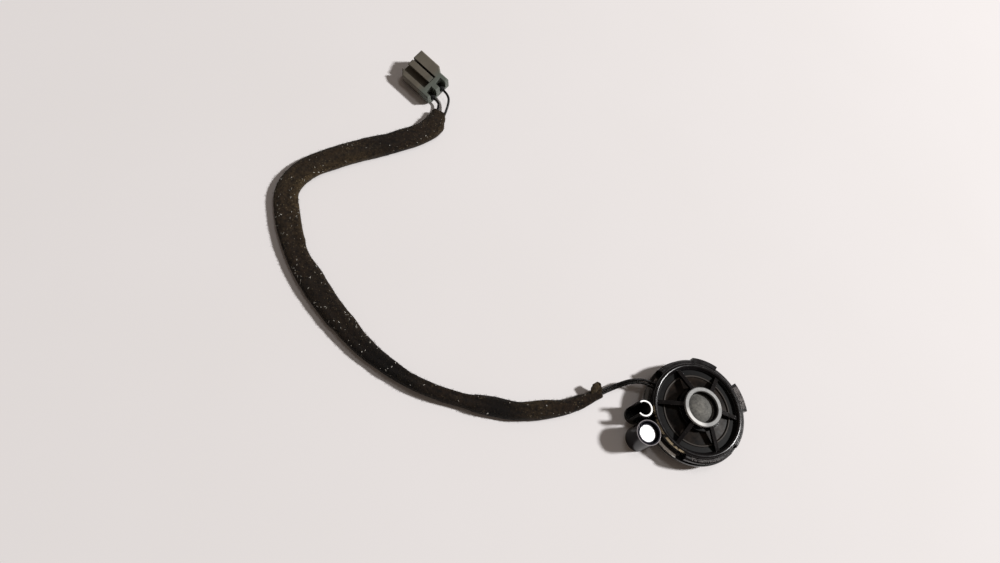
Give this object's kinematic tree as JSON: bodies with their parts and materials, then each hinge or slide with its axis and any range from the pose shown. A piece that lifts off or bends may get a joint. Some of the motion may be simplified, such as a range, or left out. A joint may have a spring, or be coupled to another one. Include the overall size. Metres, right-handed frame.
{
  "type": "car tweeter",
  "caption": "Small round dome tweeter for a car door, with a slotted clip post, a capacitor in a side cup, and a fleece-taped loom to a two-way plug.",
  "frame": {"origin": "centre of the tweeter's rear face, on the dome's axis; the tweeter lies on its back on the surface z = 0", "axes": "+Z out of the front along the dome's axis; the clip post and the capacitor cup stand on the -X side, and the loom leaves that way too; +Y towards the smooth lug on the rim"},
  "size_m": [0.2294, 0.2117, 0.0164],
  "materials": {
    "housing_plastic": "satin black moulded plastic",
    "bezel_plastic": "satin black moulded plastic with a soft sheen",
    "ring_metal": "fine satin silver-grey",
    "dome_cloth": "woven, lightly coated",
    "former_film": "thin amber film",
    "copper": "enamelled copper",
    "edge_rubber": "matt",
    "felt": "soft felt",
    "motor_steel": "zinc plated",
    "magnet_nickel": "nickel plated",
    "board_laminate": "paper laminate",
    "terminal_brass": "tinned brass",
    "spring_steel": "bright spring steel",
    "can_aluminium": "bright drawn aluminium",
    "sleeve_film": "shrunk dark film",
    "bung_rubber": "matt",
    "winding_foil": "foil and paper roll",
    "wire_jacket": "smooth black jacket",
    "loom_fleece": "black-brown fleece tape with lint",
    "plug_plastic": "olive-grey moulded plastic",
    "lock_plastic": "brown moulded plastic",
    "seal_rubber": "soft"
  },
  "bodies": {
    "tweeter": {"rear_housing": "housing_plastic", "front_plate": "housing_plastic", "front_bezel": "bezel_plastic", "centre_ring": "ring_metal", "surround": "edge_rubber", "diaphragm_ring": "housing_plastic", "damping_pad": "felt", "pole_plate": "motor_steel", "magnet": "magnet_nickel", "yoke_cup": "motor_steel", "rear_foam": "felt", "terminal_board": "board_laminate", "spring_clip": "spring_steel", "capacitor_can": "can_aluminium", "capacitor_sleeve": "sleeve_film", "capacitor_bung": "bung_rubber", "capacitor_winding": "winding_foil", "loom_wrap": "loom_fleece", "tape_tab": "loom_fleece", "plug_housing": "plug_plastic", "terminal_positive": "terminal_brass", "coil_lead_positive": "copper", "wire_positive": "wire_jacket", "plug_contact_positive": "terminal_brass", "wire_seal_positive": "seal_rubber", "plug_wire_positive": "wire_jacket", "terminal_negative": "terminal_brass", "coil_lead_negative": "copper", "wire_negative": "wire_jacket", "plug_contact_negative": "terminal_brass", "wire_seal_negative": "seal_rubber", "plug_wire_negative": "wire_jacket", "capacitor_lead_series": "terminal_brass", "capacitor_lead_return": "terminal_brass"},
    "diaphragm": {"dome": "dome_cloth", "voice_coil_former": "former_film", "voice_coil": "copper"},
    "latch": {"plug_latch": "plug_plastic"},
    "secondary_lock": {"plug_secondary_lock": "lock_plastic"}
  },
  "joints": [
    {"name": "diaphragm_travel", "type": "slide", "parent": "tweeter", "child": "diaphragm", "axis": [0, 0, 1], "range_m": [-0.0004, 0.0004], "stiffness_N_per_m": 1000},
    {"name": "latch_press", "type": "hinge", "parent": "tweeter", "child": "latch", "pos_m": [-0.13267, 0.16821, 0.00771], "axis": [-0.6203, -0.7136, -0.3256], "range_deg": [0, 5], "stiffness_Nm_per_rad": 0.3},
    {"name": "secondary_lock_slide", "type": "slide", "parent": "tweeter", "child": "secondary_lock", "axis": [-0.6203, -0.7136, -0.3256], "range_m": [0, 0.0015]}
  ]
}
